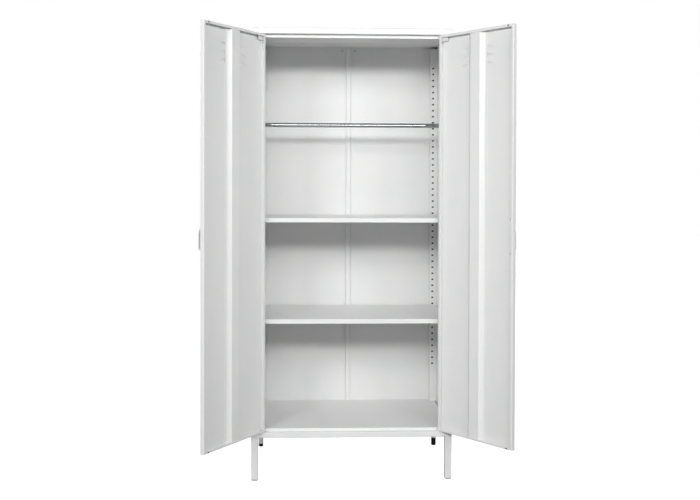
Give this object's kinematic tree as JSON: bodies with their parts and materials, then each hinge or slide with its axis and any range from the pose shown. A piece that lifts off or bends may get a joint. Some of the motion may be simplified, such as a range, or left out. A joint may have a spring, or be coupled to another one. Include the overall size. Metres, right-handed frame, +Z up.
{
  "type": "two-door locker cabinet",
  "caption": "Tall steel wardrobe locker on square legs, with hinged double doors, a hanging rail and adjustable shelves on slotted uprights.",
  "frame": {"origin": "on the floor, under the middle of the box that the cabinet fills with its doors open as at rest", "axes": "+Z up, +Y from the front towards the back, +X to the right as seen from the front"},
  "size_m": [1.1784, 0.8031, 1.8],
  "materials": {
    "white_powder_coat": "white powder coat on sheet steel, satin, with a very fine orange peel",
    "chrome_plate": "polished chrome plate on steel tube",
    "zinc_plate": "bright zinc plate, slightly dull",
    "black_plastic": "moulded black plastic, fine texture",
    "grey_plastic": "moulded light grey plastic",
    "grey_rubber": "dull grey rubber"
  },
  "bodies": {
    "cabinet": {"back_centre_strip": "white_powder_coat", "back_panel_left": "white_powder_coat", "back_panel_right": "white_powder_coat", "flange_screw_left": "zinc_plate", "flange_screw_right": "zinc_plate", "floor_panel": "white_powder_coat", "foot_front_left": "grey_plastic", "foot_front_right": "grey_plastic", "foot_rear_left": "black_plastic", "foot_rear_right": "black_plastic", "frame_stile_left": "white_powder_coat", "frame_stile_right": "white_powder_coat", "hanging_rail": "chrome_plate", "hinge_pin_bottom_left": "zinc_plate", "hinge_pin_bottom_right": "zinc_plate", "hinge_washer_left": "grey_plastic", "hinge_washer_right": "grey_plastic", "leg_front_left": "white_powder_coat", "leg_front_right": "white_powder_coat", "leg_rear_left": "white_powder_coat", "leg_rear_right": "white_powder_coat", "rail_bracket_left": "chrome_plate", "rail_bracket_right": "chrome_plate", "shelf_clip_lower_front_left": "zinc_plate", "shelf_clip_lower_front_right": "zinc_plate", "shelf_clip_lower_rear_left": "zinc_plate", "shelf_clip_lower_rear_right": "zinc_plate", "shelf_clip_upper_front_left": "zinc_plate", "shelf_clip_upper_front_right": "zinc_plate", "shelf_clip_upper_rear_left": "zinc_plate", "shelf_clip_upper_rear_right": "zinc_plate", "shelf_lower": "white_powder_coat", "shelf_upper": "white_powder_coat", "side_panel_left": "white_powder_coat", "side_panel_right": "white_powder_coat", "top_panel": "white_powder_coat", "upright_front_left": "white_powder_coat", "upright_front_right": "white_powder_coat", "upright_rear_left": "white_powder_coat", "upright_rear_right": "white_powder_coat"},
    "door_left": {"door_buffer_bottom_left": "grey_rubber", "door_buffer_top_left": "grey_rubber", "door_handle_left": "white_powder_coat", "door_panel_left": "white_powder_coat", "door_stiffener_left": "white_powder_coat", "handle_screw_lower_left": "zinc_plate", "handle_screw_upper_left": "zinc_plate", "hinge_bracket_left": "white_powder_coat", "hinge_pin_top_left": "zinc_plate"},
    "door_right": {"door_buffer_bottom_right": "grey_rubber", "door_buffer_top_right": "grey_rubber", "door_handle_right": "white_powder_coat", "door_panel_right": "white_powder_coat", "door_stiffener_right": "white_powder_coat", "handle_screw_lower_right": "zinc_plate", "handle_screw_upper_right": "zinc_plate", "hinge_bracket_right": "white_powder_coat", "hinge_pin_top_right": "zinc_plate"}
  },
  "joints": [
    {"name": "door_left_hinge", "type": "hinge", "parent": "cabinet", "child": "door_left", "pos_m": [-0.37559, -0.09372, 0.985], "axis": [0, 0, -1], "range_deg": [-123.5, 9.5]},
    {"name": "door_right_hinge", "type": "hinge", "parent": "cabinet", "child": "door_right", "pos_m": [0.34841, -0.09372, 0.985], "axis": [0, 0, 1], "range_deg": [-129.5, 3.5]}
  ]
}
